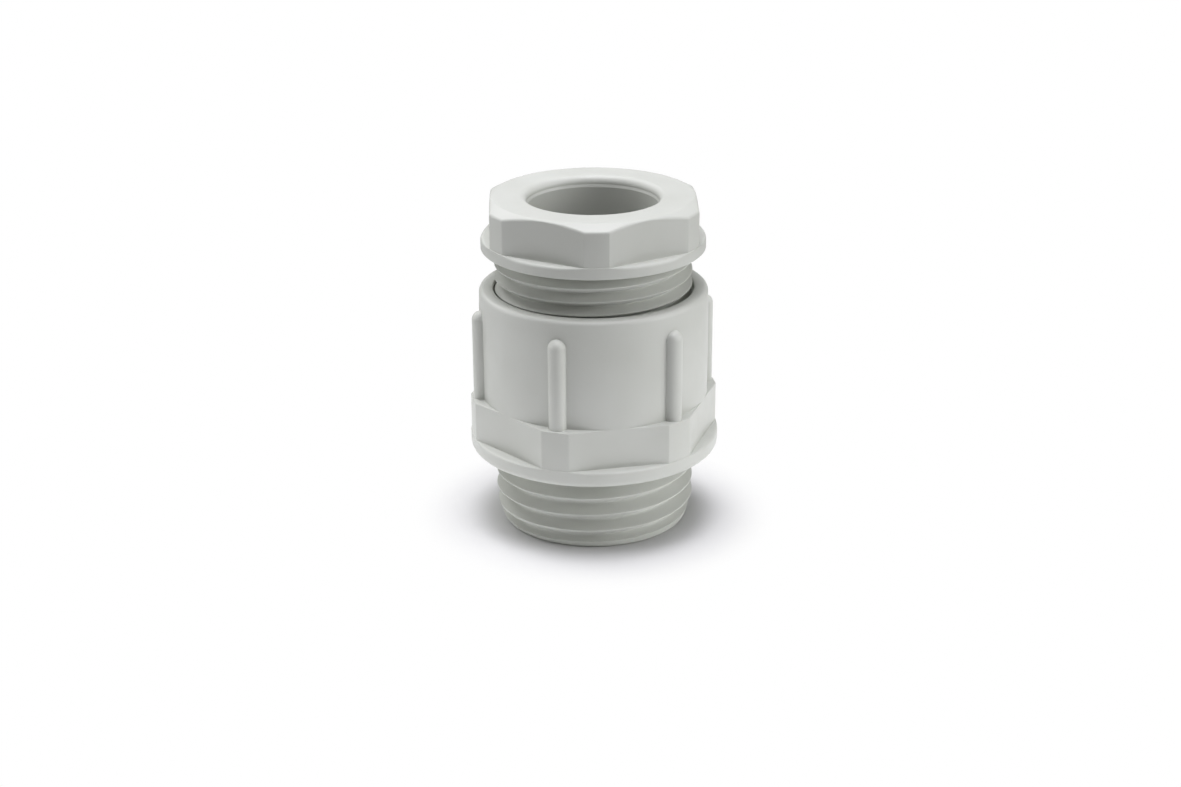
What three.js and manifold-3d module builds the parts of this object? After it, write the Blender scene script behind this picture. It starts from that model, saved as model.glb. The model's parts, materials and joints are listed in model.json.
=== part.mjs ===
// Cable gland of the pressure-screw type: moulded body, pressure screw with a captive thrust ring,
// a two-ring rubber seal and its support washer.
// Millimetres, +Z up. Heights here are measured from the underside of the body's sealing collar.
// The assembly is then raised, so that its origin is on the axis at the end of the entry thread.
// Hexagon corners of the body lie on +X and every 60 degrees from it.
import * as THREE from 'three';
import { mergeVertices } from 'three/addons/utils/BufferGeometryUtils.js';
import Module from 'manifold-3d';

const wasm = await Module();
wasm.setup();

// ---------------------------------------------------------------- driving dimensions
const CLEARANCE = 0.3; // between pieces that turn or slide past each other
const REST_GAP = 0.1; // between pieces that rest on each other
const ROUND_STEPS = 36; // facets round a full turn of every turned surface and thread
const RIB_STEPS = 12; // facets round a rib

// Entry thread: G 1/2, right-handed.
const ENTRY_PITCH = 1.814;
const ENTRY_CREST_RADIUS = 10.48;
const ENTRY_DEPTH = 1.12;
const ENTRY_END_Z = -8.2;
const ENTRY_LEAD_IN = 2.6; // length of the tapered lead-in
const ENTRY_LEAD_IN_DROP = 0.8; // loss of radius along it
const ENTRY_FLANK_ANGLE = 27.5;

// Pressure thread between body and screw: Pg 13.5, right-handed.
const PRESSURE_PITCH = 1.411;
const PRESSURE_CREST_RADIUS = 10.2;
const PRESSURE_DEPTH = 0.67;
const PRESSURE_FLANK_ANGLE = 40;

// The thread crests pass these heights on the front line, which is at this angle from +X.
const FRONT_ANGLE = -102;
const FIRST_FACET_ANGLE = -90; // where the first facet edge of turned surfaces and threads lies
const ENTRY_CREST_AT_FRONT = -2.35;
const PRESSURE_CREST_AT_FRONT = 20.4;

// Body.
const CUP_RADIUS = 11.97;
const MOUTH_Z = 17.44;
const RIM_ROUND = 0.9;
const MOUTH_RADIUS = 10.5;
const MOUTH_DEPTH = 0.6;
const BODY_HEX_APOTHEM = 12.0; // 24 mm across flats
const BODY_CORNER_RADIUS = 13.12; // turned corners of the hexagon, flush with the collar
const BODY_HEX_TOP_Z = 5.92;
const COLLAR_FOOT_ROUND = 0.74; // edge round between the collar's underside and its rim
const COLLAR_TOP_ROUND = 0.3;
const COLLAR_TOP_Z = 1.7; // flat ledge between the collar's rim and the hexagon
const RIB_COUNT = 6;
const RIB_RADIUS = 0.92; // half the width of a rib
const RIB_REACH = 12.9; // outermost point of a rib from the axis
const RIB_TOP_Z = 15.5;
const ENTRY_BORE_RADIUS = 7.3;
const ENTRY_BORE_EDGE = 0.4;
const CHAMBER_FLOOR_Z = 1.0;

// Pressure screw.
const HEAD_TURN = 19.5; // degrees that the head's hexagon is turned from the body's
const HEAD_COLLAR_Z = 21.77;
const HEAD_COLLAR_RADIUS = 11.65;
const HEAD_COLLAR_ROUND = 0.4;
const HEAD_COLLAR_TOP_Z = 22.97;
const HEAD_APOTHEM = 10.62; // 21.2 mm across flats
const HEAD_TOP_Z = 27.25;
const HEAD_TOP_RADIUS = 10.48;
const HEAD_CHAMFER_ANGLE = 27.5;
const CABLE_BORE_RADIUS = 6.77;
const LIP_RADIUS = 0.75; // rounded lip of the cable bore
const NOSE_Z = 12.42;
const NOSE_CHAMFER = 0.6;
const NECK_LENGTH = 0.5; // plain neck between the head and its thread

// Thrust ring, seal and washer.
const THRUST_RING_THICKNESS = 0.8;
const SLEEVE_WALL = 0.65;
const SLEEVE_LENGTH = 2.7;
const BEAD_HEIGHT = 0.5;
const BEAD_LENGTH = 0.7;
const RING_BORE_RADIUS = 6.9;
const WASHER_THICKNESS = 0.8;
const SEAL_HEIGHT = 7.0;
const SEAL_SPLIT_RADIUS = 6.0; // where the outer and the inner ring meet
const SEAL_SPLIT_GAP = 0.2;
const SEAL_BORE_RADIUS = 4.25;
const SEAL_EDGE = 0.5;
const SEAL_RIB_HEIGHT = 0.4; // locating rib that holds the inner ring in the outer one

// ---------------------------------------------------------------- worked-out dimensions
const pressureMinor = PRESSURE_CREST_RADIUS - PRESSURE_DEPTH;
const chamberRadius = pressureMinor + CLEARANCE;
const insertRadius = chamberRadius - CLEARANCE;
const washerZ = CHAMBER_FLOOR_Z + REST_GAP;
const sealZ = washerZ + WASHER_THICKNESS + REST_GAP;
const thrustRingZ = NOSE_Z - REST_GAP - THRUST_RING_THICKNESS;
const sleeveRadius = RING_BORE_RADIUS + SLEEVE_WALL;
const sleeveTopZ = NOSE_Z + SLEEVE_LENGTH;
const beadRadius = sleeveRadius + BEAD_HEIGHT;
const noseBoreRadius = sleeveRadius + CLEARANCE;
const snapGrooveRadius = beadRadius + CLEARANCE;
const femaleThreadLowZ = NOSE_Z - (HEAD_COLLAR_Z - MOUTH_Z) - CLEARANCE;

const radians = THREE.MathUtils.degToRad;

// ---------------------------------------------------------------- solids
function toSolid(geometry) {
  const bare = geometry.clone();
  bare.deleteAttribute('normal');
  bare.deleteAttribute('uv');
  const merged = mergeVertices(bare, 1e-4);
  return new wasm.Manifold(new wasm.Mesh({
    numProp: 3,
    vertProperties: new Float32Array(merged.attributes.position.array),
    triVerts: new Uint32Array(merged.index.array),
  }));
}

function toGeometry(solid) {
  const mesh = solid.getMesh();
  const geometry = new THREE.BufferGeometry();
  geometry.setAttribute('position', new THREE.BufferAttribute(mesh.vertProperties.slice(), 3));
  geometry.setIndex(new THREE.BufferAttribute(mesh.triVerts.slice(), 1));
  geometry.computeVertexNormals();
  return geometry;
}

// A solid of revolution about Z from [radius, z] points that run upwards along the outside.
function turned(points, steps = ROUND_STEPS) {
  const profile = points.map(([radius, z]) => new THREE.Vector2(radius, z));
  const geometry = new THREE.LatheGeometry(profile, steps);
  geometry.rotateX(Math.PI / 2);
  return toSolid(geometry);
}

// A ring: [radius, z] points once round its section, counter-clockwise with radius to the right.
function turnedRing(points) {
  return turned([...points, points[0]]);
}

function arc(centreRadius, centreZ, radius, fromDegrees, toDegrees, steps) {
  const points = [];
  for (let i = 0; i <= steps; i += 1) {
    const angle = radians(fromDegrees + ((toDegrees - fromDegrees) * i) / steps);
    points.push([centreRadius + radius * Math.cos(angle), centreZ + radius * Math.sin(angle)]);
  }
  return points;
}

// A hexagonal prism with a corner at turnDegrees from +X.
function hexPrism(apothem, lowZ, highZ, turnDegrees) {
  const cornerRadius = apothem / Math.cos(Math.PI / 6);
  const outline = [];
  for (let corner = 0; corner < 6; corner += 1) {
    const angle = radians(turnDegrees + corner * 60);
    outline.push(new THREE.Vector2(cornerRadius * Math.cos(angle), cornerRadius * Math.sin(angle)));
  }
  const depth = highZ - lowZ;
  const geometry = new THREE.ExtrudeGeometry(new THREE.Shape(outline), { depth, bevelEnabled: false });
  geometry.translate(0, 0, lowZ);
  return toSolid(geometry);
}

// A rod with a right-handed helical thread, a little longer than lowZ to highZ. One pitch of the
// thread has four edges: the two edges of the crest and the two edges of the root. Rows of edges
// climb one pitch in a turn, so the last facet of a turn meets the first one four rows higher.
function threadedRod({ crestRadius, depth, pitch, flankAngle, crestAtFront, lowZ, highZ }) {
  const rootRadius = crestRadius - depth;
  const flank = depth * Math.tan(radians(flankAngle));
  const land = (pitch - 2 * flank) / 2;
  const edges = [
    [crestRadius, 0],
    [crestRadius, land],
    [rootRadius, land + flank],
    [rootRadius, 2 * land + flank],
  ];
  const climbFromFront = (pitch * (FIRST_FACET_ANGLE - FRONT_ANGLE)) / 360;
  const start = crestAtFront - land / 2 + climbFromFront;
  const turnsBelow = Math.ceil((start - lowZ) / pitch) + 2;
  const turns = Math.ceil((highZ - lowZ) / pitch) + 4;
  const rows = turns * edges.length;
  const positions = [];
  const vertexAt = [];
  for (let step = 0; step < ROUND_STEPS; step += 1) {
    const share = step / ROUND_STEPS;
    const angle = radians(FIRST_FACET_ANGLE) + share * 2 * Math.PI;
    const column = [];
    for (let row = 0; row <= rows; row += 1) {
      const [radius, rise] = edges[row % edges.length];
      const turn = Math.floor(row / edges.length) - turnsBelow + share;
      column.push(positions.length / 3);
      positions.push(radius * Math.cos(angle), radius * Math.sin(angle), start + rise + turn * pitch);
    }
    vertexAt.push(column);
  }
  const vertex = (step, row) => (
    step < ROUND_STEPS ? vertexAt[step][row] : vertexAt[0][row + edges.length]
  );
  const triangles = [];
  const lastRow = rows - edges.length;
  for (let step = 0; step < ROUND_STEPS; step += 1) {
    for (let row = 0; row < lastRow; row += 1) {
      const [a, b] = [vertex(step, row), vertex(step + 1, row)];
      const [c, d] = [vertex(step + 1, row + 1), vertex(step, row + 1)];
      triangles.push(a, b, c, a, c, d);
    }
  }
  const capEnd = (row, atTop) => {
    const z = positions[vertex(0, row) * 3 + 2] + (atTop ? pitch * 2 : -pitch);
    const centre = positions.length / 3;
    positions.push(0, 0, z);
    const loop = [];
    for (let step = 0; step <= ROUND_STEPS; step += 1) {
      loop.push(vertex(step, row));
    }
    for (let back = edges.length - 1; back >= 1; back -= 1) {
      loop.push(vertex(0, row + back));
    }
    loop.forEach((start, index) => {
      const end = loop[(index + 1) % loop.length];
      triangles.push(...(atTop ? [start, end, centre] : [end, start, centre]));
    });
  };
  capEnd(0, false);
  capEnd(lastRow, true);
  const geometry = new THREE.BufferGeometry();
  geometry.setAttribute('position', new THREE.Float32BufferAttribute(positions, 3));
  geometry.setIndex(triangles);
  return toSolid(geometry);
}

// ---------------------------------------------------------------- body
function bodyCollar() {
  const foot = COLLAR_FOOT_ROUND;
  const top = COLLAR_TOP_ROUND;
  return turned([
    [0, 0],
    ...arc(BODY_CORNER_RADIUS - foot, foot, foot, -90, 0, 3),
    ...arc(BODY_CORNER_RADIUS - top, COLLAR_TOP_Z - top, top, 0, 90, 2),
    [0, COLLAR_TOP_Z],
  ]);
}

function bodyHexagon() {
  const corners = turned([
    [0, COLLAR_FOOT_ROUND],
    [BODY_CORNER_RADIUS, COLLAR_FOOT_ROUND],
    [BODY_CORNER_RADIUS, BODY_HEX_TOP_Z],
    [0, BODY_HEX_TOP_Z],
  ]);
  return corners.intersect(hexPrism(BODY_HEX_APOTHEM, COLLAR_FOOT_ROUND, BODY_HEX_TOP_Z, 0));
}

function bodyCup() {
  return turned([
    [0, CHAMBER_FLOOR_Z],
    [CUP_RADIUS, CHAMBER_FLOOR_Z],
    ...arc(CUP_RADIUS - RIM_ROUND, MOUTH_Z - RIM_ROUND, RIM_ROUND, 0, 90, 4),
    [0, MOUTH_Z],
  ]);
}

function bodyRib(angleDegrees) {
  const ribEnd = RIB_TOP_Z - RIB_RADIUS;
  const rib = turned([
    [0, COLLAR_TOP_Z],
    [RIB_RADIUS, COLLAR_TOP_Z],
    ...arc(0, ribEnd, RIB_RADIUS, 0, 60, 2),
    [0, RIB_TOP_Z],
  ], RIB_STEPS);
  const centre = RIB_REACH - RIB_RADIUS;
  const angle = radians(angleDegrees);
  return rib.translate([centre * Math.cos(angle), centre * Math.sin(angle), 0]);
}

function entryThread() {
  const rod = threadedRod({
    crestRadius: ENTRY_CREST_RADIUS,
    depth: ENTRY_DEPTH,
    pitch: ENTRY_PITCH,
    flankAngle: ENTRY_FLANK_ANGLE,
    crestAtFront: ENTRY_CREST_AT_FRONT,
    lowZ: ENTRY_END_Z,
    highZ: COLLAR_FOOT_ROUND,
  });
  const outside = ENTRY_CREST_RADIUS + CLEARANCE;
  const envelope = turned([
    [0, ENTRY_END_Z],
    [ENTRY_CREST_RADIUS - ENTRY_LEAD_IN_DROP, ENTRY_END_Z],
    [ENTRY_CREST_RADIUS, ENTRY_END_Z + ENTRY_LEAD_IN],
    [outside, ENTRY_END_Z + ENTRY_LEAD_IN],
    [outside, COLLAR_FOOT_ROUND],
    [0, COLLAR_FOOT_ROUND],
  ]);
  return rod.intersect(envelope);
}

function bodyHollow() {
  const overshoot = 1;
  const bore = turned([
    [0, ENTRY_END_Z - overshoot],
    [ENTRY_BORE_RADIUS + ENTRY_BORE_EDGE + overshoot, ENTRY_END_Z - overshoot],
    [ENTRY_BORE_RADIUS, ENTRY_END_Z + ENTRY_BORE_EDGE],
    [ENTRY_BORE_RADIUS, CHAMBER_FLOOR_Z],
    [chamberRadius, CHAMBER_FLOOR_Z],
    [chamberRadius, MOUTH_Z - MOUTH_DEPTH - CLEARANCE],
    [MOUTH_RADIUS, MOUTH_Z - MOUTH_DEPTH],
    [MOUTH_RADIUS, MOUTH_Z + overshoot],
    [0, MOUTH_Z + overshoot],
  ]);
  const rod = threadedRod({
    crestRadius: PRESSURE_CREST_RADIUS + CLEARANCE,
    depth: PRESSURE_DEPTH,
    pitch: PRESSURE_PITCH,
    flankAngle: PRESSURE_FLANK_ANGLE,
    crestAtFront: PRESSURE_CREST_AT_FRONT,
    lowZ: femaleThreadLowZ,
    highZ: MOUTH_Z,
  });
  const outside = MOUTH_RADIUS + CLEARANCE;
  const threadZone = turned([
    [0, femaleThreadLowZ],
    [outside, femaleThreadLowZ],
    [outside, MOUTH_Z - MOUTH_DEPTH],
    [0, MOUTH_Z - MOUTH_DEPTH],
  ]);
  return bore.add(rod.intersect(threadZone));
}

function glandBody() {
  let solid = bodyCup().add(bodyCollar()).add(bodyHexagon()).add(entryThread());
  for (let rib = 0; rib < RIB_COUNT; rib += 1) {
    solid = solid.add(bodyRib((rib * 360) / RIB_COUNT));
  }
  return solid.subtract(bodyHollow());
}

// ---------------------------------------------------------------- pressure screw
function screwHead() {
  const chamferDrop = (HEAD_COLLAR_RADIUS - HEAD_TOP_RADIUS) * Math.tan(radians(HEAD_CHAMFER_ANGLE));
  const corners = turned([
    [0, HEAD_COLLAR_Z],
    [HEAD_COLLAR_RADIUS, HEAD_COLLAR_Z],
    [HEAD_COLLAR_RADIUS, HEAD_TOP_Z - chamferDrop],
    [HEAD_TOP_RADIUS, HEAD_TOP_Z],
    [0, HEAD_TOP_Z],
  ]);
  const round = HEAD_COLLAR_ROUND;
  const collar = turned([
    [0, HEAD_COLLAR_Z],
    [HEAD_COLLAR_RADIUS, HEAD_COLLAR_Z],
    ...arc(HEAD_COLLAR_RADIUS - round, HEAD_COLLAR_TOP_Z - round, round, 0, 90, 3),
    [0, HEAD_COLLAR_TOP_Z],
  ]);
  return corners.intersect(hexPrism(HEAD_APOTHEM, HEAD_COLLAR_Z, HEAD_TOP_Z, HEAD_TURN)).add(collar);
}

function pressureThread() {
  const rod = threadedRod({
    crestRadius: PRESSURE_CREST_RADIUS,
    depth: PRESSURE_DEPTH,
    pitch: PRESSURE_PITCH,
    flankAngle: PRESSURE_FLANK_ANGLE,
    crestAtFront: PRESSURE_CREST_AT_FRONT,
    lowZ: NOSE_Z,
    highZ: HEAD_COLLAR_Z,
  });
  const outside = PRESSURE_CREST_RADIUS + CLEARANCE;
  const envelope = turned([
    [0, NOSE_Z],
    [PRESSURE_CREST_RADIUS - NOSE_CHAMFER, NOSE_Z],
    [PRESSURE_CREST_RADIUS, NOSE_Z + NOSE_CHAMFER],
    [outside, NOSE_Z + NOSE_CHAMFER],
    [outside, HEAD_COLLAR_Z - NECK_LENGTH],
    [pressureMinor, HEAD_COLLAR_Z - NECK_LENGTH],
    [pressureMinor, HEAD_COLLAR_TOP_Z],
    [0, HEAD_COLLAR_TOP_Z],
  ]);
  return rod.intersect(envelope);
}

function screwBore() {
  const overshoot = 1;
  const grooveLow = sleeveTopZ - BEAD_LENGTH - CLEARANCE;
  const grooveHigh = sleeveTopZ + CLEARANCE;
  return turned([
    [0, NOSE_Z - overshoot],
    [noseBoreRadius, NOSE_Z - overshoot],
    [noseBoreRadius, grooveLow],
    [snapGrooveRadius, grooveLow],
    [snapGrooveRadius, grooveHigh],
    [CABLE_BORE_RADIUS, grooveHigh],
    ...arc(CABLE_BORE_RADIUS + LIP_RADIUS, HEAD_TOP_Z - LIP_RADIUS, LIP_RADIUS, 180, 90, 5),
    [CABLE_BORE_RADIUS + LIP_RADIUS, HEAD_TOP_Z + overshoot],
    [0, HEAD_TOP_Z + overshoot],
  ]);
}

function pressureScrew() {
  return pressureThread().add(screwHead()).subtract(screwBore());
}

// ---------------------------------------------------------------- thrust ring, seal and washer
function thrustRing() {
  const beadLow = sleeveTopZ - BEAD_LENGTH;
  return turnedRing([
    [RING_BORE_RADIUS, thrustRingZ],
    [insertRadius, thrustRingZ],
    [insertRadius, thrustRingZ + THRUST_RING_THICKNESS],
    [sleeveRadius, thrustRingZ + THRUST_RING_THICKNESS],
    [sleeveRadius, beadLow],
    [beadRadius, beadLow],
    [sleeveRadius, sleeveTopZ],
    [RING_BORE_RADIUS, sleeveTopZ],
  ]);
}

function supportWasher() {
  return turnedRing([
    [RING_BORE_RADIUS, washerZ],
    [insertRadius, washerZ],
    [insertRadius, washerZ + WASHER_THICKNESS],
    [RING_BORE_RADIUS, washerZ + WASHER_THICKNESS],
  ]);
}

function sealOuterRing() {
  const bore = SEAL_SPLIT_RADIUS + SEAL_SPLIT_GAP / 2;
  const middle = sealZ + SEAL_HEIGHT / 2;
  const top = sealZ + SEAL_HEIGHT;
  return turnedRing([
    [bore, sealZ],
    [insertRadius - SEAL_EDGE, sealZ],
    [insertRadius, sealZ + SEAL_EDGE],
    [insertRadius, top - SEAL_EDGE],
    [insertRadius - SEAL_EDGE, top],
    [bore, top],
    [bore, middle + SEAL_RIB_HEIGHT],
    [bore - SEAL_RIB_HEIGHT, middle],
    [bore, middle - SEAL_RIB_HEIGHT],
  ]);
}

function sealInnerRing() {
  const outside = SEAL_SPLIT_RADIUS - SEAL_SPLIT_GAP / 2;
  const middle = sealZ + SEAL_HEIGHT / 2;
  const top = sealZ + SEAL_HEIGHT;
  return turnedRing([
    [SEAL_BORE_RADIUS, sealZ + SEAL_EDGE],
    [SEAL_BORE_RADIUS + SEAL_EDGE, sealZ],
    [outside, sealZ],
    [outside, middle - SEAL_RIB_HEIGHT],
    [outside - SEAL_RIB_HEIGHT, middle],
    [outside, middle + SEAL_RIB_HEIGHT],
    [outside, top],
    [SEAL_BORE_RADIUS + SEAL_EDGE, top],
    [SEAL_BORE_RADIUS, top - SEAL_EDGE],
  ]);
}

// ---------------------------------------------------------------- assembly
const lightGreyPlastic = () => new THREE.MeshStandardMaterial({
  color: 0xc3c7c2, roughness: 0.55, metalness: 0,
});
const naturalPlastic = () => new THREE.MeshStandardMaterial({
  color: 0xe4e0d2, roughness: 0.45, metalness: 0,
});
const blackRubber = () => new THREE.MeshStandardMaterial({
  color: 0x232323, roughness: 0.85, metalness: 0,
});

function piece(name, solid, material) {
  const mesh = new THREE.Mesh(toGeometry(solid), material);
  mesh.name = name;
  return mesh;
}

const gland = new THREE.Group();
gland.position.z = -ENTRY_END_Z;
gland.add(
  piece('gland_body', glandBody(), lightGreyPlastic()),
  piece('pressure_screw', pressureScrew(), lightGreyPlastic()),
  piece('thrust_ring', thrustRing(), naturalPlastic()),
  piece('seal_outer_ring', sealOuterRing(), blackRubber()),
  piece('seal_inner_ring', sealInnerRing(), blackRubber()),
  piece('support_washer', supportWasher(), naturalPlastic()),
);

export default gland;
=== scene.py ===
"""Cable gland of the pressure-screw type: the visual model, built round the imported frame.

Shapes are made in millimetres, in the frame's own axes, and scaled to metres at the end.
Each moulded piece is one closed mesh: a skin of rings round the Z axis, joined with its threads
and hollowed out. Heights are worked out from the boxes and mounts of the frame.
"""
import json
import math
from collections import namedtuple

import bpy
import numpy as np
from mathutils import Matrix, Vector


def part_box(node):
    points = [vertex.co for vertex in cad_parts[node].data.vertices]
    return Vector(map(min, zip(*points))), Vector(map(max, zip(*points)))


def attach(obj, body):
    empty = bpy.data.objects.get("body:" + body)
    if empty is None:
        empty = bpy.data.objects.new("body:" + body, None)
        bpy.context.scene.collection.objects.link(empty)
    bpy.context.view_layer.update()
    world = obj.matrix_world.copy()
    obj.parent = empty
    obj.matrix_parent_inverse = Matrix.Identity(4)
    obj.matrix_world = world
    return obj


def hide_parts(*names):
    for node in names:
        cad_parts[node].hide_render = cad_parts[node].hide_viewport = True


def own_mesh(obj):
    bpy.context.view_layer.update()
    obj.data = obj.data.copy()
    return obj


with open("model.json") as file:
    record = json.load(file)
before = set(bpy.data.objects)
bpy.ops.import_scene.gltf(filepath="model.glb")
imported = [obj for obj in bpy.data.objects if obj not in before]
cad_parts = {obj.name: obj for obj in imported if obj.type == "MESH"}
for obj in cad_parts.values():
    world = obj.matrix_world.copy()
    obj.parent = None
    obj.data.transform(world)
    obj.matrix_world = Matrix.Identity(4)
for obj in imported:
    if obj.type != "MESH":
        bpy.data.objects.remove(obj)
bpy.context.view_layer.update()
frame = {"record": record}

MM = 0.001
COLUMNS = 180  # columns round a turned surface or a thread
THREAD_ROWS = 20  # rows in one pitch of a thread
FILLET_STEPS = 5
SHARP_ANGLE = math.radians(32)
AXIS_GAP = 0.5  # a turned profile starts and ends this far from the axis
CUT_PAST = 1.0  # how far a cutting solid reaches past the end that it opens


def node_box(node):
    """Lowest and highest corner of a CAD node, in millimetres."""
    low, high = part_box(node)
    return Vector(low) / MM, Vector(high) / MM


def mount(name):
    """Place in millimetres and direction of a mount in the record."""
    found = next(m for m in frame["record"]["mounts"] if m["name"] == name)
    return Vector(found["pos_m"]) / MM, Vector(found["axis"])


# ------------------------------------------------------------------ sizes, in millimetres
body_low, body_high = node_box("gland_body")
screw_low, screw_high = node_box("pressure_screw")
ring_low, ring_high = node_box("thrust_ring")
washer_low, washer_high = node_box("support_washer")
outer_seal_low, outer_seal_high = node_box("seal_outer_ring")
inner_seal_low, inner_seal_high = node_box("seal_inner_ring")
seat_z = mount("wall_seat")[0].z
head_flat_axis = mount("head_wrench_flat")[1]

foot_z = body_low.z
mouth_z = body_high.z
head_top_z = screw_high.z
nose_z = screw_low.z
head_turn = math.degrees(math.atan2(head_flat_axis.y, head_flat_axis.x)) - 30

Thread = namedtuple("Thread", "crest_radius depth pitch flank_angle crest_land crest_at_front")
FRONT_ANGLE = -102  # degrees from +X of the line where the crest heights are given
ENTRY = Thread(10.56, 1.3, 1.814, 30, 0.08, seat_z - 2.38)
PRESSURE = Thread(10.34, 1.0, 1.411, 32, 0.08, seat_z + 20.4)
THREAD_CLEARANCE = 0.22
CREST_BLEND = 0.12  # rounding of the crests and roots, as shares of the pitch
ROOT_BLEND = 0.1
THREAD_MARGIN = 0.3  # how far a solid that trims a thread stands off its crests
CREST_MARGIN = 0.02
ENTRY_LEAD_IN = 2.6
ENTRY_LEAD_IN_DROP = 0.8
ENTRY_TRIM_TAPER = 0.4
ENTRY_OVERLAP = 0.5  # how far the entry thread runs into the collar

CUP_RADIUS = 11.97
RIM_ROUND = 0.9
MOUTH_RADIUS = 10.47
MOUTH_DEPTH = 0.6
MOUTH_BEVEL = 0.1
MOUTH_CUT_PAST = 0.2
MOUTH_COVER = 1.0  # how far the rim's top runs in over the mouth, before it is hollowed out
BODY_APOTHEM = 12.0
COLLAR_RADIUS = body_high.x + 0.04
BODY_CORNER_RADIUS = body_high.x - 0.03
COLLAR_FOOT_ROUND = 0.74
COLLAR_TOP_ROUND = 0.3
COLLAR_RISE = 1.7
HEX_RISE = 5.92
RIB_RADIUS = 0.92
RIB_REACH = 12.92
RIB_RISE = 15.5
RIB_BLEND = 0.06  # fillet between a rib and the cup
CORNER_BLEND = 0.03  # softening of the hexagons' corner strips
WALL_FOOT = 0.6  # height of the first ring of the cup's wall above the hexagon
WALL_STEP = 0.8  # height between the wall's rings
DOME_STEP = 0.05  # the same over the ribs' domed tops
DOME_BELOW = 0.1
DOME_ABOVE = 0.15
RIM_FOOT = 0.3
ENTRY_BORE_RADIUS = 7.3
ENTRY_COUNTERSINK = 0.4
FLOOR_RISE = 1.0
CHAMBER_RADIUS = 9.83
CHAMBER_TAPER = 0.3
BODY_THREAD_REACH = 4.6  # how far the body's thread runs below the screw's nose

HEAD_COLLAR_RISE = 21.77
HEAD_COLLAR_RADIUS = 11.68
HEAD_CORNER_RADIUS = 11.6
HEAD_COLLAR_ROUND = 0.4
HEAD_COLLAR_HEIGHT = 1.2
HEAD_APOTHEM = 10.62
HEAD_TOP_RADIUS = 10.4
HEAD_CHAMFER_SLOPE = math.tan(math.radians(27.5))
LIP_WIDTH = 0.8
LIP_DEPTH = 0.8
LIP_STEPS = 12
LIP_THROAT_RADIUS = 6.86
LIP_LEDGE_DEPTH = 1.15
LIP_LEDGE_RISE = 0.3
CABLE_BORE_RADIUS = 6.77
NOSE_BORE_RADIUS = 7.85
NOSE_COUNTERSINK = 0.3
NOSE_GROOVE_RADIUS = 8.35
GROOVE_BELOW = 1.0  # how far the snap groove reaches below and above the top of the slip ring
GROOVE_ABOVE = 0.3
GROOVE_TAPER = 0.4
NOSE_CHAMFER = 0.6
NECK_LENGTH = 0.5
NECK_TAPER = 0.3
NECK_STEP = 0.05  # how far the neck stands above the thread's root
HEAD_TOP_EDGE = 1.5  # width of the ring of the head's top that the chamfer's rounding may use
HEAD_OVERLAP = 0.3  # how far the screw's thread runs into the head

THRUST_BORE_RADIUS = 6.9
FLANGE_GAP = 0.1  # between the slip ring's flange and the screw's nose
SLEEVE_WALL = 0.65
BEAD_HEIGHT = 0.5
BEAD_LENGTH = 0.7
SEAL_SPLIT_RADIUS = 6.0
SEAL_SPLIT_GAP = 0.2
SEAL_BORE_RADIUS = 4.25
SEAL_RIB_HEIGHT = 0.4
SEAL_GROOVE_HALF = 0.35
SEAL_GROOVE_DEPTH = 0.2
SEAL_WAIST_HALF = 0.5
SEAL_WAIST_DEPTH = 0.25

CAMERA_LENS = 63.4
SENSOR_WIDTH = 36
CAMERA_DISTANCE = 206.3
CAMERA_RISE = 86.3
CAMERA_SHIFT = -0.38
CAMERA_PITCH = 21.45  # degrees, as is the roll
CAMERA_ROLL = -0.35

FLOOR_HALF = 3.0  # metres
SHEET_RADIUS = 60
SHEET_BOUNCE = 0.92  # what the floor throws back at the part
SHEET_SEEN_PAINTED_SHADE = 0.62  # what the camera sees of it close to the part, darker than what it throws back: painted shade round the part's foot
WHITE_FROM = 11  # the floor turns from that painted shade to plain white between these distances from the axis
WHITE_TO = 20
ROOM_GLOW = 0.06
LIGHT_DISTANCE = 0.8  # metres, as is the lights' size
LIGHT_SIZE = 0.5
OVERHEAD_POWER = 7.6  # watts, as are the other powers
OVERHEAD_COLOUR = (0.95, 0.94, 1)  # a little cool
BACK_POWER = 2.6
LEFT_POWER = 2.4
RIGHT_POWER = 4.6


# ------------------------------------------------------------------ numbers to shapes
def smooth_min(a, b, blend):
    share = np.clip(0.5 + 0.5 * (b - a) / blend, 0, 1)
    return b * (1 - share) + a * share - blend * share * (1 - share)


def smooth_max(a, b, blend):
    return -smooth_min(-a, -b, blend)


def rounded(path, radii):
    """Rings along a profile whose inner corners are rounded. A point is [radius, z], each a
    number or one number for each column, and radii has one entry for each inner point."""
    points = [np.array(np.broadcast_arrays(*point), float) for point in path]
    width = max(point.shape[1] if point.ndim > 1 else 1 for point in points)
    points = [np.broadcast_to(p.reshape(2, -1), (2, width)) for p in points]
    rings = [points[0]]
    for before, corner, after, radius in zip(points, points[1:], points[2:], radii):
        if radius == 0:
            rings.append(corner)
            continue
        back, ahead = before - corner, after - corner
        back_length = np.hypot(*back)
        ahead_length = np.hypot(*ahead)
        back, ahead = back / back_length, ahead / ahead_length
        opening = np.arccos(np.clip((back * ahead).sum(axis=0), -1, 1))
        cut = radius / np.tan(opening / 2)
        cut = np.minimum(cut, 0.45 * np.minimum(back_length, ahead_length))
        for step in range(FILLET_STEPS + 1):
            t = step / FILLET_STEPS
            start, end = corner + back * cut, corner + ahead * cut
            rings.append((1 - t) ** 2 * start + 2 * t * (1 - t) * corner + t * t * end)
    rings.append(points[-1])
    return rings


def new_object(name, verts, faces):
    mesh = bpy.data.meshes.new(name)
    mesh.from_pydata(verts, [], faces)
    mesh.update()
    obj = bpy.data.objects.new(name, mesh)
    bpy.context.collection.objects.link(obj)
    return obj


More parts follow.
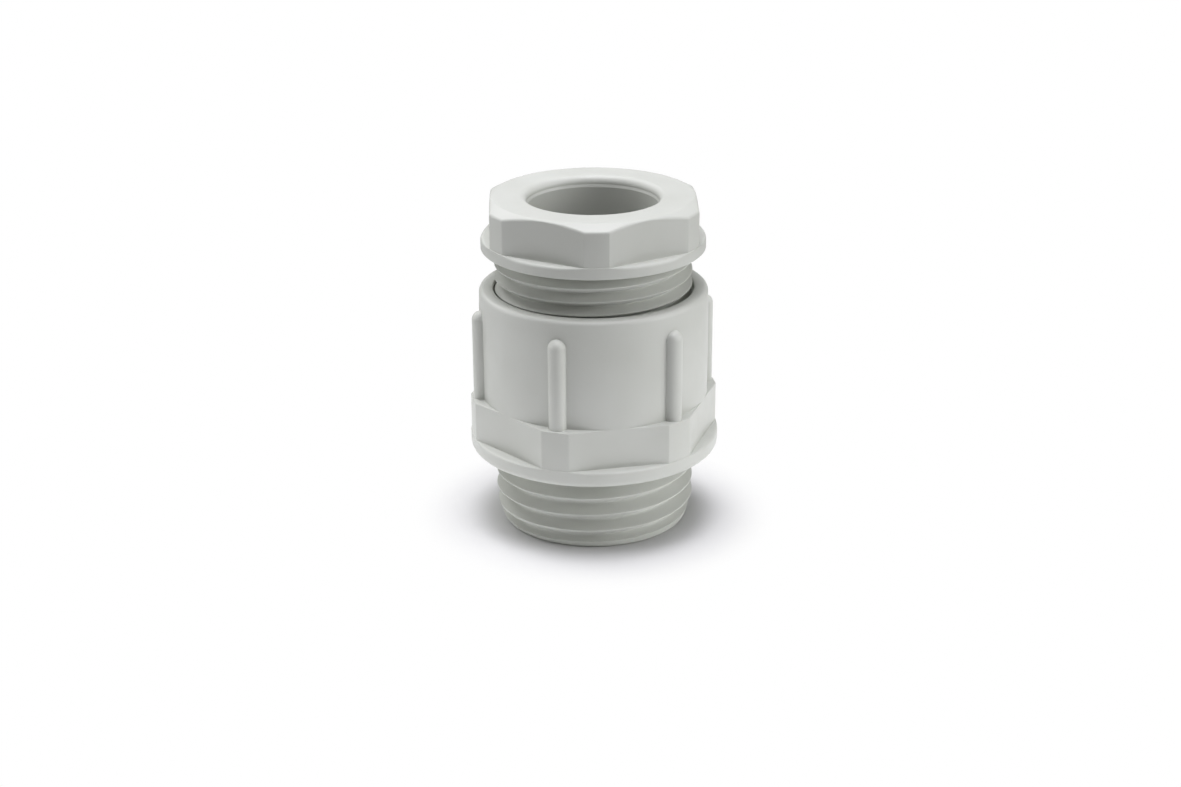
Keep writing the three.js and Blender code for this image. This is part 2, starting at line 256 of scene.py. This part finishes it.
def skin(name, angles, rings):
    """A closed solid: rings round Z from the bottom to the top, with a fan over each end."""
    count = len(angles)
    verts = []
    for radius, z in rings:
        radius = np.broadcast_to(radius, count)
        z = np.broadcast_to(z, count)
        verts.extend(zip(radius * np.cos(angles), radius * np.sin(angles), z))
    faces = []
    for ring in range(len(rings) - 1):
        for column in range(count):
            after = (column + 1) % count
            low, high = ring * count, (ring + 1) * count
            faces.append((low + column, low + after, high + after, high + column))
    for ring, flip in ((0, True), (len(rings) - 1, False)):
        centre = len(verts)
        verts.append((0, 0, float(np.mean(rings[ring][1]))))
        for column in range(count):
            pair = (ring * count + column, ring * count + (column + 1) % count)
            faces.append((*(pair[::-1] if flip else pair), centre))
    return new_object(name, verts, faces)


def even_angles():
    return np.arange(COLUMNS) * 2 * math.pi / COLUMNS


def turned(name, path, radii=None):
    """A solid of revolution. The profile runs up the outside and doesn't touch the axis."""
    radii = radii or [0] * (len(path) - 2)
    return skin(name, even_angles(), rounded(path, radii))


def turned_ring(name, path, radii):
    """A ring round Z whose closed section runs counter-clockwise, radius to the right."""
    closed = rounded([path[-1], *path, path[0]], radii)[1:-1]
    angles = even_angles()
    count = len(angles)
    verts = []
    for radius, z in closed:
        radius, z = float(radius[0]), float(z[0])
        verts.extend((radius * math.cos(a), radius * math.sin(a), z) for a in angles)
    faces = []
    for ring in range(len(closed)):
        low, high = ring * count, (ring + 1) % len(closed) * count
        for column in range(count):
            after = (column + 1) % count
            faces.append((low + column, low + after, high + after, high + column))
    return new_object(name, verts, faces)


def thread_section(thread):
    """Radius at THREAD_ROWS places in one pitch, with the crest in the middle of the pitch: a
    narrow crest, straight flanks and a narrow rounded root."""
    places = (np.arange(THREAD_ROWS) + 0.5) / THREAD_ROWS
    from_land = np.abs(places - 0.5) * thread.pitch - thread.crest_land / 2
    flank_slope = 1 / math.tan(math.radians(thread.flank_angle))
    radius = thread.crest_radius - from_land * flank_slope
    radius = smooth_max(radius, thread.crest_radius - thread.depth, ROOT_BLEND * thread.pitch)
    return smooth_min(radius, thread.crest_radius, CREST_BLEND * thread.pitch)


def threaded_rod(name, thread, low_z, high_z, grow=0.0):
    """A rod with a right-handed thread, longer than low_z to high_z. Its rows climb one pitch in
    a turn, so a turn's last column meets its first one pitch higher."""
    section = thread_section(thread) + grow
    turns_below = math.ceil((thread.crest_at_front - low_z) / thread.pitch) + 2
    turns = math.ceil((high_z - low_z) / thread.pitch) + 4
    rows = turns * THREAD_ROWS
    angles = math.radians(FRONT_ANGLE) + even_angles()
    verts = []
    for column, angle in enumerate(angles):
        climb = thread.pitch * column / COLUMNS
        for row in range(rows + 1):
            radius = section[row % THREAD_ROWS]
            along = (row + 0.5) / THREAD_ROWS - 0.5 - turns_below
            z = thread.crest_at_front + along * thread.pitch + climb
            verts.append((radius * math.cos(angle), radius * math.sin(angle), z))

    def vertex(column, row):
        if column < COLUMNS:
            return column * (rows + 1) + row
        return row + THREAD_ROWS

    last_row = rows - THREAD_ROWS
    faces = []
    for column in range(COLUMNS):
        for row in range(last_row):
            faces.append((vertex(column, row), vertex(column + 1, row),
                          vertex(column + 1, row + 1), vertex(column, row + 1)))
    for row, flip in ((0, True), (last_row, False)):
        loop = [vertex(column, row) for column in range(COLUMNS + 1)]
        loop += [vertex(0, row + back) for back in range(THREAD_ROWS - 1, 0, -1)]
        centre = len(verts)
        overhang = -thread.pitch if flip else 2 * thread.pitch
        verts.append((0, 0, verts[vertex(0, row)][2] + overhang))
        for here, after in zip(loop, loop[1:] + loop[:1]):
            faces.append((after, here, centre) if flip else (here, after, centre))
    return new_object(name, verts, faces)


def combine(target, tool, operation):
    """Joins, cuts or intersects two closed solids, and uses the tool up."""
    modifier = target.modifiers.new("solid", "BOOLEAN")
    modifier.operation = operation
    modifier.solver = "MANIFOLD"
    modifier.object = tool
    graph = bpy.context.evaluated_depsgraph_get()
    result = bpy.data.meshes.new_from_object(target.evaluated_get(graph))
    target.modifiers.clear()
    target.data = result
    bpy.data.objects.remove(tool)
    return target


def spread_angles(turn):
    """Column angles that are close together near the six corners of a hexagon."""
    reach = 7.5
    near = np.arange(-reach, reach, 0.25)
    far = np.arange(reach, 60 - reach, 1.0)
    sixth = np.concatenate([near, far])
    return np.radians(np.concatenate([sixth + 60 * k for k in range(6)]) + turn)


def from_corner(angles, turn):
    """Signed angle from the nearest corner of a hexagon, in radians."""
    sixth = math.pi / 3
    return (angles - math.radians(turn) + sixth / 2) % sixth - sixth / 2


def hexagon_radius(angles, turn, apothem, corner_radius):
    flat = apothem / np.cos(math.pi / 6 - np.abs(from_corner(angles, turn)))
    return smooth_min(flat, corner_radius, CORNER_BLEND)


# ------------------------------------------------------------------ gland body
def cup_radius(angles, z):
    """Outside of the cup, with its six half-round ribs."""
    sideways = CUP_RADIUS * from_corner(angles, 0)
    climb = max(0.0, z - (seat_z + RIB_RISE - RIB_RADIUS))
    inside = RIB_RADIUS ** 2 - sideways ** 2 - climb ** 2
    rib = RIB_REACH - RIB_RADIUS + np.sqrt(np.maximum(inside, 0))
    return smooth_max(rib, CUP_RADIUS, RIB_BLEND)


def body_shell():
    angles = spread_angles(0)
    hexagon = hexagon_radius(angles, 0, BODY_APOTHEM, BODY_CORNER_RADIUS)
    collar_top = seat_z + COLLAR_RISE
    hex_top = seat_z + HEX_RISE
    rib_top = seat_z + RIB_RISE
    first_wall = hex_top + WALL_FOOT
    dome_start = rib_top - RIB_RADIUS - DOME_BELOW
    walls = [
        *np.arange(first_wall, dome_start, WALL_STEP),
        *np.arange(dome_start, rib_top + DOME_ABOVE, DOME_STEP),
    ]
    rim_start = mouth_z - RIM_ROUND
    path = [
        (AXIS_GAP, seat_z),
        (COLLAR_RADIUS, seat_z),
        (COLLAR_RADIUS, collar_top),
        (hexagon, collar_top),
        (hexagon, hex_top),
        (cup_radius(angles, hex_top), hex_top),
        (cup_radius(angles, first_wall), first_wall),
    ]
    rings = rounded(path, [COLLAR_FOOT_ROUND, COLLAR_TOP_ROUND, 0.05, 0.15, 0.08])
    rings += [(cup_radius(angles, z), z) for z in walls[1:]]
    rings += rounded([
        (CUP_RADIUS, rim_start - RIM_FOOT),
        (CUP_RADIUS, mouth_z),
        (MOUTH_RADIUS - MOUTH_COVER, mouth_z),
        (AXIS_GAP, mouth_z),
    ], [RIM_ROUND, 0])
    return skin("gland_body_shape", angles, rings)


def entry_thread():
    top_z = seat_z + ENTRY_OVERLAP
    rod = threaded_rod("entry_thread", ENTRY, foot_z, top_z)
    outside = ENTRY.crest_radius + THREAD_MARGIN
    lead_end = foot_z + ENTRY_LEAD_IN
    envelope = turned("entry_envelope", [
        (AXIS_GAP, foot_z),
        (ENTRY.crest_radius - ENTRY_LEAD_IN_DROP, foot_z),
        (ENTRY.crest_radius + CREST_MARGIN, lead_end),
        (outside, lead_end + ENTRY_TRIM_TAPER),
        (outside, top_z),
        (AXIS_GAP, top_z),
    ], [0.5, 0, 0, 0])
    return combine(rod, envelope, "INTERSECT")


def body_hollow():
    floor_z = seat_z + FLOOR_RISE
    thread_top = mouth_z - MOUTH_DEPTH
    bore = turned("body_bore", [
        (AXIS_GAP, foot_z - CUT_PAST),
        (ENTRY_BORE_RADIUS + ENTRY_COUNTERSINK + CUT_PAST, foot_z - CUT_PAST),
        (ENTRY_BORE_RADIUS, foot_z + ENTRY_COUNTERSINK),
        (ENTRY_BORE_RADIUS, floor_z),
        (CHAMBER_RADIUS, floor_z),
        (CHAMBER_RADIUS, thread_top - CHAMBER_TAPER),
        (MOUTH_RADIUS, thread_top),
        (MOUTH_RADIUS, mouth_z - MOUTH_BEVEL),
        (MOUTH_RADIUS + MOUTH_BEVEL + MOUTH_CUT_PAST, mouth_z + MOUTH_CUT_PAST),
        (AXIS_GAP, mouth_z + MOUTH_CUT_PAST),
    ], [0, 0.5, 0.15, 0.2, 0.1, 0.1, 0.1, 0])
    low_z = nose_z - BODY_THREAD_REACH
    outside = MOUTH_RADIUS + THREAD_MARGIN
    rod = threaded_rod("body_thread", PRESSURE, low_z, thread_top, THREAD_CLEARANCE)
    zone = turned("body_thread_zone", [
        (AXIS_GAP, low_z), (outside, low_z), (outside, thread_top), (AXIS_GAP, thread_top),
    ])
    return combine(bore, combine(rod, zone, "INTERSECT"), "UNION")


def gland_body():
    shape = combine(body_shell(), entry_thread(), "UNION")
    return combine(shape, body_hollow(), "DIFFERENCE")


# ------------------------------------------------------------------ pressure screw
def screw_shell():
    angles = spread_angles(head_turn)
    hexagon = hexagon_radius(angles, head_turn, HEAD_APOTHEM, HEAD_CORNER_RADIUS)
    collar_z = seat_z + HEAD_COLLAR_RISE
    collar_top = collar_z + HEAD_COLLAR_HEIGHT
    chamfer_foot = head_top_z - (hexagon - HEAD_TOP_RADIUS) * HEAD_CHAMFER_SLOPE
    rings = rounded([
        (AXIS_GAP, collar_z),
        (HEAD_COLLAR_RADIUS, collar_z),
        (HEAD_COLLAR_RADIUS, collar_top),
        (hexagon, collar_top),
        (hexagon, chamfer_foot),
        (HEAD_TOP_RADIUS, head_top_z),
        (HEAD_TOP_RADIUS - HEAD_TOP_EDGE, head_top_z),
        (AXIS_GAP, head_top_z),
    ], [0.12, HEAD_COLLAR_ROUND, 0.05, 0.4, 0.6, 0])
    return skin("pressure_screw_shape", angles, rings)


def pressure_thread():
    collar_z = seat_z + HEAD_COLLAR_RISE
    top_z = collar_z + HEAD_OVERLAP
    rod = threaded_rod("pressure_thread", PRESSURE, nose_z, top_z)
    outside = PRESSURE.crest_radius + THREAD_MARGIN
    neck_radius = PRESSURE.crest_radius - PRESSURE.depth + NECK_STEP
    neck_z = collar_z - NECK_LENGTH
    envelope = turned("pressure_envelope", [
        (AXIS_GAP, nose_z),
        (PRESSURE.crest_radius - NOSE_CHAMFER, nose_z),
        (PRESSURE.crest_radius + CREST_MARGIN, nose_z + NOSE_CHAMFER),
        (outside, nose_z + NOSE_CHAMFER + THREAD_MARGIN),
        (outside, neck_z),
        (neck_radius, neck_z + NECK_TAPER),
        (neck_radius, top_z),
        (AXIS_GAP, top_z),
    ], [0.2, 0, 0, 0, 0.2, 0])
    return combine(rod, envelope, "INTERSECT")


def screw_bore():
    groove_low = ring_high.z - GROOVE_BELOW
    groove_high = ring_high.z + GROOVE_ABOVE
    ledge_z = head_top_z - LIP_LEDGE_DEPTH
    lip = []
    for step in range(LIP_STEPS + 1):
        angle = math.pi / 2 * step / LIP_STEPS
        lip.append((LIP_THROAT_RADIUS + LIP_WIDTH * (1 - math.cos(angle)),
                    head_top_z - LIP_DEPTH * (1 - math.sin(angle))))
    return turned("screw_bore", [
        (AXIS_GAP, nose_z - CUT_PAST),
        (NOSE_BORE_RADIUS + NOSE_COUNTERSINK + CUT_PAST, nose_z - CUT_PAST),
        (NOSE_BORE_RADIUS, nose_z + NOSE_COUNTERSINK),
        (NOSE_BORE_RADIUS, groove_low),
        (NOSE_GROOVE_RADIUS, groove_low),
        (NOSE_GROOVE_RADIUS, groove_high),
        (CABLE_BORE_RADIUS, groove_high + GROOVE_TAPER),
        (CABLE_BORE_RADIUS, ledge_z),
        (LIP_THROAT_RADIUS, ledge_z + LIP_LEDGE_RISE),
        *lip,
        (lip[-1][0], head_top_z + CUT_PAST),
        (AXIS_GAP, head_top_z + CUT_PAST),
    ], [0, 0.2, 0.1, 0.1, 0.1, 0.2, 0.05, 0.03, *[0] * (len(lip) + 1)])


def pressure_screw():
    shape = combine(screw_shell(), pressure_thread(), "UNION")
    return combine(shape, screw_bore(), "DIFFERENCE")


# ------------------------------------------------------------------ thrust ring, seal, washer
def thrust_ring():
    bore = THRUST_BORE_RADIUS
    flange_top = nose_z - FLANGE_GAP
    bead_low = ring_high.z - BEAD_LENGTH
    sleeve = bore + SLEEVE_WALL
    return turned_ring("thrust_ring_shape", [
        (bore, ring_low.z),
        (ring_high.x, ring_low.z),
        (ring_high.x, flange_top),
        (sleeve, flange_top),
        (sleeve, bead_low),
        (sleeve + BEAD_HEIGHT, bead_low),
        (sleeve, ring_high.z),
        (bore, ring_high.z),
    ], [0.25, 0.2, 0.1, 0.1, 0.1, 0.12, 0.1, 0.15])


def support_washer():
    return turned_ring("support_washer_shape", [
        (THRUST_BORE_RADIUS, washer_low.z),
        (washer_high.x, washer_low.z),
        (washer_high.x, washer_high.z),
        (THRUST_BORE_RADIUS, washer_high.z),
    ], [0.2, 0.15, 0.15, 0.2])


def seal_outer_ring():
    low, high = outer_seal_low.z, outer_seal_high.z
    outside = outer_seal_high.x
    bore = SEAL_SPLIT_RADIUS + SEAL_SPLIT_GAP / 2
    middle = (low + high) / 2
    return turned_ring("seal_outer_shape", [
        (bore, low),
        (outside, low),
        (outside, middle - SEAL_GROOVE_HALF),
        (outside - SEAL_GROOVE_DEPTH, middle),
        (outside, middle + SEAL_GROOVE_HALF),
        (outside, high),
        (bore, high),
        (bore, middle + SEAL_RIB_HEIGHT),
        (bore - SEAL_RIB_HEIGHT, middle),
        (bore, middle - SEAL_RIB_HEIGHT),
    ], [0.25, 0.6, 0.15, 0.1, 0.15, 0.6, 0.25, 0.15, 0.15, 0.15])


def seal_inner_ring():
    low, high = inner_seal_low.z, inner_seal_high.z
    outside = SEAL_SPLIT_RADIUS - SEAL_SPLIT_GAP / 2
    middle = (low + high) / 2
    return turned_ring("seal_inner_shape", [
        (SEAL_BORE_RADIUS, low),
        (outside, low),
        (outside, middle - SEAL_RIB_HEIGHT),
        (outside - SEAL_RIB_HEIGHT, middle),
        (outside, middle + SEAL_RIB_HEIGHT),
        (outside, high),
        (SEAL_BORE_RADIUS, high),
        (SEAL_BORE_RADIUS, middle + SEAL_WAIST_HALF),
        (SEAL_BORE_RADIUS + SEAL_WAIST_DEPTH, middle),
        (SEAL_BORE_RADIUS, middle - SEAL_WAIST_HALF),
    ], [0.55, 0.25, 0.15, 0.15, 0.15, 0.25, 0.55, 0.3, 0.15, 0.3])


# ------------------------------------------------------------------ materials
class Shader:
    """A material's node tree, built by short calls."""

    def __init__(self, name):
        self.material = bpy.data.materials.new(name)
        self.material.use_nodes = True
        self.tree = self.material.node_tree
        self.surface = self.tree.nodes["Principled BSDF"]
        place = self.tree.nodes.new("ShaderNodeTexCoord")
        scale = self.tree.nodes.new("ShaderNodeVectorMath")
        scale.operation = "SCALE"
        scale.inputs["Scale"].default_value = 1 / MM
        self.tree.links.new(place.outputs["Object"], scale.inputs[0])
        self.place = scale.outputs[0]

    def link(self, output, node_input):
        self.tree.links.new(output, node_input)

    def noise(self, per_mm, detail=3.0, roughness=0.5):
        node = self.tree.nodes.new("ShaderNodeTexNoise")
        node.inputs["Scale"].default_value = per_mm
        node.inputs["Detail"].default_value = detail
        node.inputs["Roughness"].default_value = roughness
        self.link(self.place, node.inputs["Vector"])
        return node.outputs["Fac"]

    def spread(self, value, low, high):
        """Maps noise, which stays near a half, to low and high."""
        node = self.tree.nodes.new("ShaderNodeMapRange")
        node.inputs["From Min"].default_value = 0.3
        node.inputs["From Max"].default_value = 0.7
        node.inputs["To Min"].default_value = low
        node.inputs["To Max"].default_value = high
        self.link(value, node.inputs["Value"])
        return node.outputs["Result"]

    def blend_colours(self, factor, first, second):
        node = self.tree.nodes.new("ShaderNodeMix")
        node.data_type = "RGBA"
        self.link(factor, node.inputs["Factor"])
        for socket, colour in (("A", first), ("B", second)):
            target = next(i for i in node.inputs if i.name == socket and i.type == "RGBA")
            if isinstance(colour, bpy.types.NodeSocket):
                self.link(colour, target)
            else:
                target.default_value = (*colour, 1)
        return next(o for o in node.outputs if o.type == "RGBA")

    def bumps(self, *layers):
        """Bump layers of (height, depth in millimetres), one on top of the other."""
        normal = None
        for height, depth in layers:
            node = self.tree.nodes.new("ShaderNodeBump")
            node.inputs["Strength"].default_value = 1.0
            node.inputs["Distance"].default_value = depth * MM
            self.link(height, node.inputs["Height"])
            if normal is not None:
                self.link(normal, node.inputs["Normal"])
            normal = node.outputs["Normal"]
        self.link(normal, self.surface.inputs["Normal"])


def from_srgb(red, green, blue):
    """Linear colour of an 8-bit sRGB one."""
    shares = (red / 255, green / 255, blue / 255)
    return tuple(s / 12.92 if s <= 0.04045 else ((s + 0.055) / 1.055) ** 2.4 for s in shares)


def moulded_plastic(name, main, pale, roughness):
    """Satin injection-moulded plastic: faint flow clouds, fine speckle and a spark-eroded skin."""
    shader = Shader(name)
    clouds = shader.spread(shader.noise(0.12, 2.0), 0.0, 1.0)
    speckle = shader.spread(shader.noise(9.0, 2.0), 0.0, 0.35)
    colour = shader.blend_colours(clouds, main, pale)
    colour = shader.blend_colours(speckle, colour, pale)
    shader.link(colour, shader.surface.inputs["Base Color"])
    gloss = shader.spread(shader.noise(0.7, 4.0), roughness - 0.05, roughness + 0.05)
    shader.link(gloss, shader.surface.inputs["Roughness"])
    shader.surface.inputs["IOR"].default_value = 1.5
    shader.bumps((shader.noise(0.35, 2.0), 0.02), (shader.noise(14.0, 3.0), 0.002))
    return shader.material


def seal_rubber(name):
    """Matt black rubber with a bloom of pale dust and a fine grain."""
    shader = Shader(name)
    bloom = shader.spread(shader.noise(0.8, 5.0, 0.6), 0.0, 0.5)
    colour = shader.blend_colours(bloom, from_srgb(34, 34, 35), from_srgb(62, 62, 61))
    shader.link(colour, shader.surface.inputs["Base Color"])
    gloss = shader.spread(shader.noise(3.0, 3.0), 0.62, 0.82)
    shader.link(gloss, shader.surface.inputs["Roughness"])
    shader.bumps((shader.noise(1.2, 3.0), 0.02), (shader.noise(18.0, 3.0), 0.004))
    return shader.material


# ------------------------------------------------------------------ pieces
def finish_piece(obj, name, node, body, material):
    """Scales a finished shape to metres, shades it, and puts it in a CAD node's place."""
    obj.name = name
    obj.data.name = name
    obj.data.transform(Matrix.Scale(MM, 4))
    obj.data.shade_smooth()
    obj.data.set_sharp_from_angle(angle=SHARP_ANGLE)
    weighted = obj.modifiers.new("flat faces stay flat", "WEIGHTED_NORMAL")
    weighted.keep_sharp = True
    obj.data.materials.clear()
    obj.data.materials.append(material)
    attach(obj, body)
    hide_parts(node)
    return obj


grey = moulded_plastic("light_grey_plastic", from_srgb(186, 188, 181), from_srgb(194, 196, 190), 0.5)
natural = moulded_plastic("natural_plastic", from_srgb(222, 216, 198), from_srgb(230, 226, 212), 0.42)
rubber = seal_rubber("seal_rubber")

finish_piece(gland_body(), "body", "gland_body", "gland_body", grey)
finish_piece(pressure_screw(), "screw", "pressure_screw", "pressure_screw", grey)
finish_piece(thrust_ring(), "slip_ring", "thrust_ring", "thrust_ring", natural)
finish_piece(support_washer(), "washer", "support_washer", "gland_body", natural)
for maker, name, node in ((seal_outer_ring, "outer_seal", "seal_outer_ring"),
                          (seal_inner_ring, "inner_seal", "seal_inner_ring")):
    seal = finish_piece(maker(), name, node, "gland_body", rubber)
    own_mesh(seal)


# ------------------------------------------------------------------ floor, light and camera
def floor():
    half = FLOOR_HALF
    corners = [(-half, -half, 0), (half, -half, 0), (half, half, 0), (-half, half, 0)]
    plane = new_object("floor", corners, [(0, 1, 2, 3)])
    plane.location.z = foot_z * MM
    plane.data.materials.append(pale_sheet())


def pale_sheet():
    """The floor's material. Close to the part the camera sees it darker than the light does, which is
    painted shade round the part's foot. Away from the part it turns plain white for the camera, and
    past the sheet's edge it no longer throws light back at the part."""
    material = bpy.data.materials.new("pale_floor")
    material.use_nodes = True
    tree = material.node_tree
    tree.nodes.clear()
    place = tree.nodes.new("ShaderNodeTexCoord")
    away = tree.nodes.new("ShaderNodeVectorMath")
    away.operation = "LENGTH"
    tree.links.new(place.outputs["Object"], away.inputs[0])
    edge = smooth_range(tree, away, SHEET_RADIUS, SHEET_RADIUS * 2, SHEET_BOUNCE, 0)
    white = smooth_range(tree, away, WHITE_FROM, WHITE_TO, 0, 1)
    path = tree.nodes.new("ShaderNodeLightPath")
    # the camera sees the floor near the part darker than the light does: painted shade
    tone = tree.nodes.new("ShaderNodeMix")
    tone.inputs["B"].default_value = SHEET_SEEN_PAINTED_SHADE
    tree.links.new(path.outputs["Is Camera Ray"], tone.inputs["Factor"])
    tree.links.new(edge.outputs["Result"], tone.inputs["A"])
    paper = tree.nodes.new("ShaderNodeBsdfDiffuse")
    tree.links.new(tone.outputs["Result"], paper.inputs["Color"])
    glow = tree.nodes.new("ShaderNodeEmission")
    seen = tree.nodes.new("ShaderNodeMath")
    seen.operation = "MULTIPLY"
    tree.links.new(white.outputs["Result"], seen.inputs[0])
    tree.links.new(path.outputs["Is Camera Ray"], seen.inputs[1])
    blend = tree.nodes.new("ShaderNodeMixShader")
    tree.links.new(seen.outputs["Value"], blend.inputs["Fac"])
    tree.links.new(paper.outputs["BSDF"], blend.inputs[1])
    tree.links.new(glow.outputs["Emission"], blend.inputs[2])
    output = tree.nodes.new("ShaderNodeOutputMaterial")
    tree.links.new(blend.outputs["Shader"], output.inputs["Surface"])
    return material


def smooth_range(tree, source, start, end, low, high):
    """low up to start millimetres, high past end, and an even change between them."""
    node = tree.nodes.new("ShaderNodeMapRange")
    node.interpolation_type = "SMOOTHSTEP"
    node.inputs["From Min"].default_value = start * MM
    node.inputs["From Max"].default_value = end * MM
    node.inputs["To Min"].default_value = low
    node.inputs["To Max"].default_value = high
    tree.links.new(source.outputs["Value"], node.inputs["Value"])
    return node


def area_light(name, azimuth, elevation, power, colour=(1, 1, 1)):
    """A square softbox that points at the middle of the part."""
    target = Vector((0, 0, (foot_z + head_top_z) / 2 * MM))
    place = target + from_camera(azimuth, elevation) * LIGHT_DISTANCE
    data = bpy.data.lights.new(name, "AREA")
    data.size = LIGHT_SIZE
    data.energy = power
    data.color = colour
    lamp = bpy.data.objects.new(name, data)
    lamp.location = place
    lamp.rotation_euler = (target - place).to_track_quat("-Z", "Y").to_euler()
    bpy.context.collection.objects.link(lamp)


def studio_world():
    """White to the camera, and a faint even glow to everything else."""
    world = bpy.data.worlds.new("studio")
    bpy.context.scene.world = world
    world.use_nodes = True
    tree = world.node_tree
    background = tree.nodes["Background"]
    background.inputs["Color"].default_value = (1, 1, 1, 1)
    path = tree.nodes.new("ShaderNodeLightPath")
    strength = tree.nodes.new("ShaderNodeMix")
    strength.inputs["A"].default_value = ROOM_GLOW
    strength.inputs["B"].default_value = 1.0
    tree.links.new(path.outputs["Is Camera Ray"], strength.inputs["Factor"])
    tree.links.new(strength.outputs["Result"], background.inputs["Strength"])


def from_camera(azimuth, elevation):
    """Direction from the object, with azimuth 0 towards the camera and 90 to its right."""
    angle = math.radians(FRONT_ANGLE + azimuth)
    rise = math.radians(elevation)
    flat = math.cos(rise)
    return Vector((math.cos(angle) * flat, math.sin(angle) * flat, math.sin(rise)))


def camera():
    data = bpy.data.cameras.new("camera")
    data.sensor_width = SENSOR_WIDTH
    data.lens = CAMERA_LENS
    data.clip_start = 0.005
    obj = bpy.data.objects.new("camera", data)
    turn = Matrix.Rotation(math.radians(FRONT_ANGLE + 90), 4, "Z")
    offset = Vector((CAMERA_SHIFT, -CAMERA_DISTANCE, seat_z + CAMERA_RISE)) * MM
    tilt = Matrix.Rotation(math.radians(90 - CAMERA_PITCH), 4, "X")
    roll = Matrix.Rotation(math.radians(CAMERA_ROLL), 4, "Z")
    obj.matrix_world = turn @ Matrix.Translation(offset) @ tilt @ roll
    bpy.context.collection.objects.link(obj)
    bpy.context.scene.camera = obj


floor()
studio_world()
area_light("overhead", 0, 88, OVERHEAD_POWER, OVERHEAD_COLOUR)
area_light("back_softbox", -135, 45, BACK_POWER)
area_light("left_softbox", -90, 12, LEFT_POWER)
area_light("right_softbox", 75, 12, RIGHT_POWER)
camera()
bpy.context.scene.view_settings.view_transform = "Standard"
